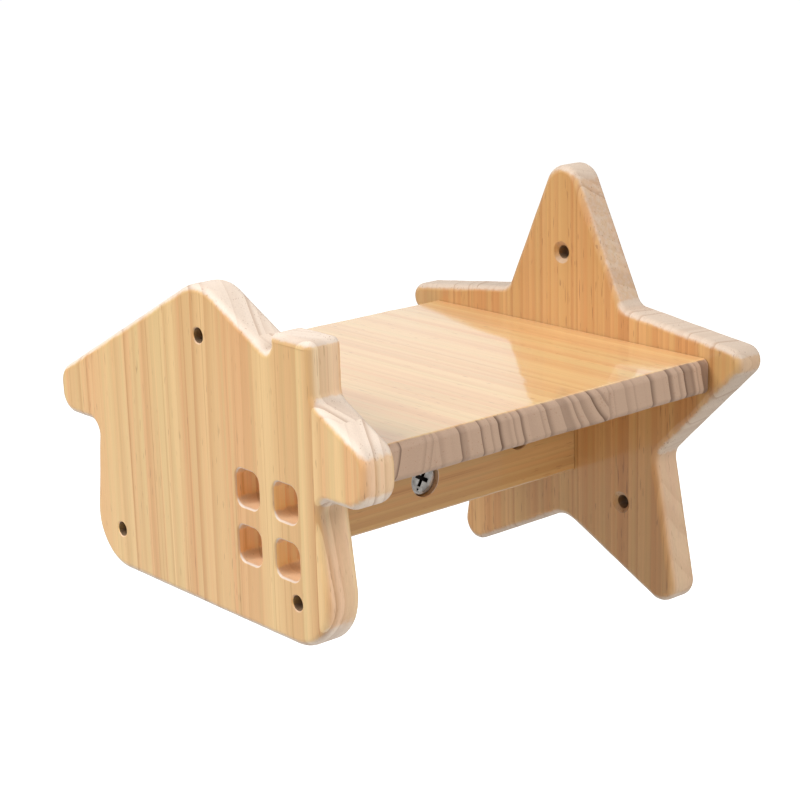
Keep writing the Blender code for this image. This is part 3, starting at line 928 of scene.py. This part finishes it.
@dataclass
class SupportRail:
    """The board on edge under the shelf, with a pocket for each cam lock."""

    finish: PineFinish
    height: float = 0.0493
    rounding: float = 0.0015
    pocket: float = 0.0075
    pocket_sides: int = 64
    pocket_depth: float = 0.0125
    lip: float = 0.0005
    bore: float = 0.0040
    bore_sides: int = 32

    def pockets(self) -> Object:
        """Round pockets with a small lip in the rail's side."""
        bm = bmesh.new()
        for spot in CAM_SPOTS:
            start = Vector((BOARD / 2 + PAST, spot.centre.y, spot.centre.z))
            face = disc(bm, self.pocket, self.pocket_sides,
                        Matrix.Translation(start) @ Matrix.Rotation(QUARTER, 4, "Y"))
            shaft(bm, face, self.pocket, Vector((-1, 0, 0)), [*mouth(self.lip), (self.pocket_depth, 0.0)])
        return link("pocket_cutter", bm)

    def bores(self) -> Object:
        """The bores that the bolts run in."""
        bm = bmesh.new()
        for spot in CAM_SPOTS:
            turn = spot.way.to_track_quat("Z", "Y").to_matrix().to_4x4()
            place = Matrix.Translation(spot.face - spot.way * PAST) @ turn
            push(bm, disc(bm, self.bore, self.bore_sides, place), spot.way * (CAM_TO_FACE + PAST))
        return link("bore_cutter", bm, CUT)

    def build(self) -> None:
        """Build and dress the rail."""
        low = Vector((-BOARD / 2, HOUSE_FACE + SEAM, -BOARD - self.height))
        high = Vector((BOARD / 2, STAR_FACE - SEAM, -BOARD - SEAM))
        rail = Plank(low, high, self.rounding, lower_only=True, seed=7.0).build("rail_plank")
        carve(rail, [self.pockets(), self.bores()], self.finish.with_walls())
        finish_piece(rail, "frame", "support_rail")


@dataclass
class CamLock:
    """A die-cast cam: a drum with a cross for the screwdriver, an arrow, and a hollow for the bolt."""

    spot: CamSpot
    looks: tuple[Material, Material]
    radius: float = 0.0072
    sides: int = 72
    height: float = 0.010
    sunk: float = 0.0022
    edge: float = 0.0005
    edge_steps: int = 3
    rim_width: float = 0.0007
    rim_slope: float = 0.0002
    rim_depth: float = 0.00025
    turn: float = math.radians(210)
    grip: float = math.radians(42)
    cross_span: float = 0.0088
    cross_width: float = 0.0021
    cross_depth: float = 0.0014
    cross_taper: Triple = (0.72, 0.75, 1.0)
    arrow_out: float = 0.0050
    arrow_size: float = 0.0008
    arrow_depth: float = 0.0006
    arrow_sides: int = 3
    slot_half: float = 0.0023
    slot_floor: float = 0.003
    slot_step: float = math.radians(8)
    mouth_half: float = 0.0032
    mouth_turn: float = 0.65
    hollow: float = 0.0044
    hollow_half: float = 0.0033
    hollow_out: float = 0.0004
    hollow_sides: int = 40

    @property
    def top(self) -> float:
        """The height of the drum's rim above the rail's middle."""
        return BOARD / 2 - self.sunk

    def place(self) -> Matrix:
        """From the drum's own frame, with its axis along Z and its mouth along X, to the rail."""
        to_bolt = math.atan2(-self.spot.way.z, -self.spot.way.y)
        lay = Matrix(((0, 0, 1, 0), (1, 0, 0, 0), (0, 1, 0, 0), (0, 0, 0, 1)))
        return Matrix.Translation(self.spot.centre) @ lay @ Matrix.Rotation(to_bolt - self.turn, 4, "Z")

    def drum(self) -> BMesh:
        """The drum, with its rims rounded and its face sunk inside a rim."""
        bm = bmesh.new()
        base = Matrix.Translation((0, 0, self.top - self.height))
        push(bm, disc(bm, self.radius, self.sides, base), (0, 0, self.height))
        round_over(bm, edges_over(bm, 2, 0.0, SAME), self.edge, self.edge_steps)
        face = max(bm.faces, key=lambda f: (len(f.verts), f.calc_center_median().z))
        bmesh.ops.inset_region(bm, faces=[face], thickness=self.rim_width, depth=0.0)
        bmesh.ops.inset_region(bm, faces=[face], thickness=self.rim_slope, depth=-self.rim_depth)
        return bm

    def cross_arm(self, turn: float) -> BMesh:
        """One arm of the cross, narrower at its floor."""
        bm = bmesh.new()
        arm = bmesh.ops.create_cube(bm, size=1.0)["verts"]
        bmesh.ops.scale(bm, vec=(self.cross_span, self.cross_width, 2 * self.cross_depth), verts=arm)
        bmesh.ops.scale(bm, vec=self.cross_taper, verts=[v for v in arm if v.co.z < 0])
        bmesh.ops.rotate(bm, matrix=Matrix.Rotation(turn, 3, "Z"), verts=arm)
        bmesh.ops.translate(bm, vec=(0, 0, self.top), verts=arm)
        return bm

    def prism(self, radius: float, sides: int, place: Matrix, depth: float) -> BMesh:
        """A prism that stands on a regular polygon."""
        bm = bmesh.new()
        push(bm, disc(bm, radius, sides, place), (0, 0, depth))
        return bm

    def cutters(self) -> list[Object]:
        """The cross, the bolt's slot, its mouth, the hollow and the arrow towards the mouth.

        The arrow is cut last, because cut before them it spoils the slot.
        """
        ahead = Matrix.Rotation(-QUARTER, 4, "Z")
        ahead = Matrix.Translation((self.arrow_out, 0, self.top - self.arrow_depth)) @ ahead
        inside = Matrix.Translation((self.hollow_out, 0.0, -self.hollow_half))
        shapes = (
            self.cross_arm(0.0),
            self.cross_arm(QUARTER),
            self.sector(-self.grip, self.turn + self.grip, self.slot_half),
            self.sector(-self.mouth_turn, self.mouth_turn, self.mouth_half),
            self.prism(self.hollow, self.hollow_sides, inside, 2 * self.hollow_half),
            self.prism(self.arrow_size, self.arrow_sides, ahead, 2 * self.arrow_depth),
        )
        # Every cut wall takes the second look, the nearly black zinc: painted shade in the cuts.
        return [link(f"{self.spot.name}_cam_cutter_{i}", bm, CUT) for i, bm in enumerate(shapes)]

    def sector(self, start: float, end: float, half: float) -> BMesh:
        """A ring sector between two angles from the mouth, with half its height above the middle."""
        bm = bmesh.new()
        rim = self.radius + PAST
        rect = bmesh.ops.create_grid(bm, x_segments=1, y_segments=1, size=0.5)["verts"]
        bmesh.ops.rotate(bm, matrix=Matrix.Rotation(QUARTER, 3, "X"), verts=rect)
        bmesh.ops.scale(bm, vec=(rim - self.slot_floor, 1, 2 * half), verts=rect)
        bmesh.ops.translate(bm, vec=((rim + self.slot_floor) / 2, 0, 0), verts=rect)
        bmesh.ops.rotate(bm, matrix=Matrix.Rotation(start, 3, "Z"), verts=rect)
        bmesh.ops.spin(bm, geom=bm.faces[:] + bm.edges[:] + bm.verts[:], cent=(0, 0, 0), axis=(0, 0, 1),
                       angle=end - start, steps=math.ceil((end - start) / self.slot_step), use_merge=False)
        return bm

    def build(self) -> None:
        """Build and dress the cam, then turn it into its place."""
        name = f"{self.spot.name}_cam"
        drum = link(f"{name}_drum", self.drum())
        carve(drum, self.cutters(), self.looks)
        drum.data.transform(self.place())
        finish_piece(drum, name, f"{name}_lock")


@dataclass
class HiddenFasteners:
    """The bolts and dowels inside the boards, which keep their CAD solids."""

    steel: Material
    beech: Material
    bolts: Sequence[str] = ("star_cam_bolt", "house_cam_bolt", "shelf_cam_bolt")
    dowels: Sequence[str] = ("house_dowel_left", "house_dowel_right", "star_dowel_left", "star_dowel_right")

    def dress(self) -> None:
        """Give each carried-over node its material."""
        for names, material in ((self.bolts, self.steel), (self.dowels, self.beech)):
            for name in names:
                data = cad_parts[name].data
                data.materials.clear()
                data.materials.append(material)
                LOG.info("%s: carried over from the CAD model", name)


class SoftLamp(NamedTuple):
    """A square soft lamp aimed at the step."""

    name: str
    place: Triple
    size: float
    power: float


@dataclass
class Studio:
    """A pale floor, a white surround, three soft lamps and the camera at the photograph's angle."""

    floor_z: float = -0.42
    floor_half: float = 40.0
    floor_parts: int = 4
    floor_colour: str = "D2D1CF"
    floor_glow: float = 0.86
    ambient: float = 0.24
    lamps: Sequence[SoftLamp] = (
        SoftLamp("soft_key", (-0.75, -1.45, 1.45), size=1.3, power=44.0),
        SoftLamp("soft_side", (1.75, 0.15, 1.30), size=1.3, power=25.0),
        SoftLamp("low_fill", (1.30, -0.35, -0.36), size=0.9, power=4.0),
    )
    # The focal length, as a share of the frame's width.
    focal: float = 1933.1 / 800
    sensor: float = 36.0
    near_clip: float = 0.01
    azimuth: float = math.radians(49.68)
    elevation: float = math.radians(15.32)
    roll: float = math.radians(-1.58)
    distance: float = 0.8009
    target: Vector = field(default_factory=lambda: Vector((-0.00515, -0.105, -0.01634)))

    def floor(self) -> None:
        """A large pale floor, lit by the lamps, that glows for the camera's own rays."""
        bm = bmesh.new()
        parts = self.floor_parts
        bmesh.ops.create_grid(bm, x_segments=parts, y_segments=parts, size=self.floor_half)
        bmesh.ops.translate(bm, vec=(0, 0, self.floor_z), verts=bm.verts)
        floor = link("studio_floor", bm)
        material, tree = new_material("matt_white_paper")
        matt = put(tree, "BsdfDiffuse", {"Color": linear(self.floor_colour)})
        path = put(tree, "LightPath")
        glow = put(tree, "Emission", {"Color": (1, 1, 1, 1), "Strength": self.floor_glow})
        nothing = put(tree, "Emission", {"Strength": 0.0})
        extra = put(tree, "MixShader", {0: path.outputs["Is Camera Ray"], 1: nothing, 2: glow})
        both = put(tree, "AddShader", {0: matt, 1: extra})
        put(tree, "OutputMaterial", {"Surface": both})
        floor.data.materials.append(material)

    def surround(self) -> None:
        """White where seen, mirrored or seen through glass, and an even weak light elsewhere."""
        world = bpy.data.worlds.new("studio_white")
        world.use_nodes = True
        tree = world.node_tree
        tree.nodes.clear()
        path = put(tree, "LightPath").outputs
        seen = calc(tree, "MAXIMUM", path["Is Camera Ray"], path["Is Glossy Ray"])
        seen = calc(tree, "MAXIMUM", seen, path["Is Transmission Ray"])
        light = put(tree, "Background", {"Color": (1, 1, 1, 1), "Strength": ramp(tree, seen, self.ambient)})
        put(tree, "OutputWorld", {"Surface": light})
        bpy.context.scene.world = world

    def light(self) -> None:
        """A key lamp from the upper left, a weaker one from the upper right and a low fill."""
        for spec in self.lamps:
            data = bpy.data.lights.new(spec.name, "AREA")
            data.size = spec.size
            data.energy = spec.power
            lamp = bpy.data.objects.new(spec.name, data)
            lamp.location = spec.place
            aim = self.target - lamp.location
            lamp.rotation_euler = aim.to_track_quat("-Z", "Y").to_euler()
            bpy.context.scene.collection.objects.link(lamp)

    def camera(self) -> None:
        """The camera, for a square frame."""
        a, e = self.azimuth, self.elevation
        back = Vector((math.sin(a) * math.cos(e), -math.cos(a) * math.cos(e), math.sin(e)))
        right = Vector((0, 0, 1)).cross(back).normalized()
        up = back.cross(right)
        across = right * math.cos(self.roll) + up * math.sin(self.roll)
        upward = up * math.cos(self.roll) - right * math.sin(self.roll)
        data = bpy.data.cameras.new("photo_camera")
        data.sensor_width = self.sensor
        data.lens = self.focal * self.sensor
        data.clip_start = self.near_clip
        camera = bpy.data.objects.new("photo_camera", data)
        turn = Matrix((across, upward, back)).transposed().to_4x4()
        camera.matrix_world = Matrix.Translation(self.target + back * self.distance) @ turn
        bpy.context.scene.collection.objects.link(camera)
        bpy.context.scene.camera = camera

    def build(self) -> None:
        """Set up the studio."""
        self.floor()
        self.surround()
        self.light()
        self.camera()
        bpy.context.scene.view_settings.view_transform = "Standard"


def main() -> None:
    """Build the boards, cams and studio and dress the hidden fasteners."""
    logging.basicConfig(level=logging.INFO, format="%(name)s: %(message)s")
    # The star's sides take more of the pale cut colour than the other boards (sawn 0.55): partly the sanded
    # rims' own paleness, partly painted light on its underlit lower sides.
    StarPanel(PineFinish(
        "pine_star_upright", Grain.UPRIGHT, seed=2.0, early="D3A46A", warm="C99258", green="CAA266",
        late="B07842", cut="D5C0AC", speck="7E4A28", sawn=0.55, coat=0.4,
    )).build()
    # The house's milled walls are painted lighter (1.3): painted light on its window and countersink walls.
    HousePanel(PineFinish("pine_house_upright", Grain.UPRIGHT, seed=5.0, milled_painted_light=1.3, coat=0.7)).build()
    ShelfBoard(PineFinish(
        "pine_shelf_along_wall", Grain.ALONG_WALL, lath=90.0, shift=74.0, seed=3.0, ring=5.0, sideways=60.0,
        early="EAC184", warm="E4B278", cut="BC9D85", cut_line="634632", face_contrast=0.35, threads=0.15,
        cut_contrast=1.0,
    )).build()
    # The rail's colours are darker than the other boards': painted shade under the shelf.
    SupportRail(PineFinish(
        "pine_rail_from_wall", Grain.FROM_WALL, lath=80.0, shift=70.0, seed=4.0, early="D9AE74",
        warm="CD9B62", green="CBA66C", late="B37D48", coat=0.4,
    )).build()
    # Bright pale grey zinc with a soft sheen, mottled with darker grey.
    zinc = MetalFinish("zinc_die_casting", "D2D0CD", "9C9894", rough=0.30, grain=0.5, dent=0.05)
    # Painted shade in the cuts in the zinc: they are painted nearly black.
    dark = MetalFinish("zinc_recess_painted_shade", "2B2725", "171514", rough=0.55, grain=0.4, dent=0.05)
    looks = (zinc.material(), dark.material())
    for spot in CAM_SPOTS:
        CamLock(spot, looks).build()
    # Cool grey plated steel, a little smoother than the cams.
    steel = MetalFinish("zinc_plated_steel", "C4C5C8", "A7A6A0", rough=0.28, grain=0.3, dent=0.03)
    HiddenFasteners(steel.material(), BeechFinish().material()).dress()
    Studio().build()


if __name__ == "__main__":
    main()
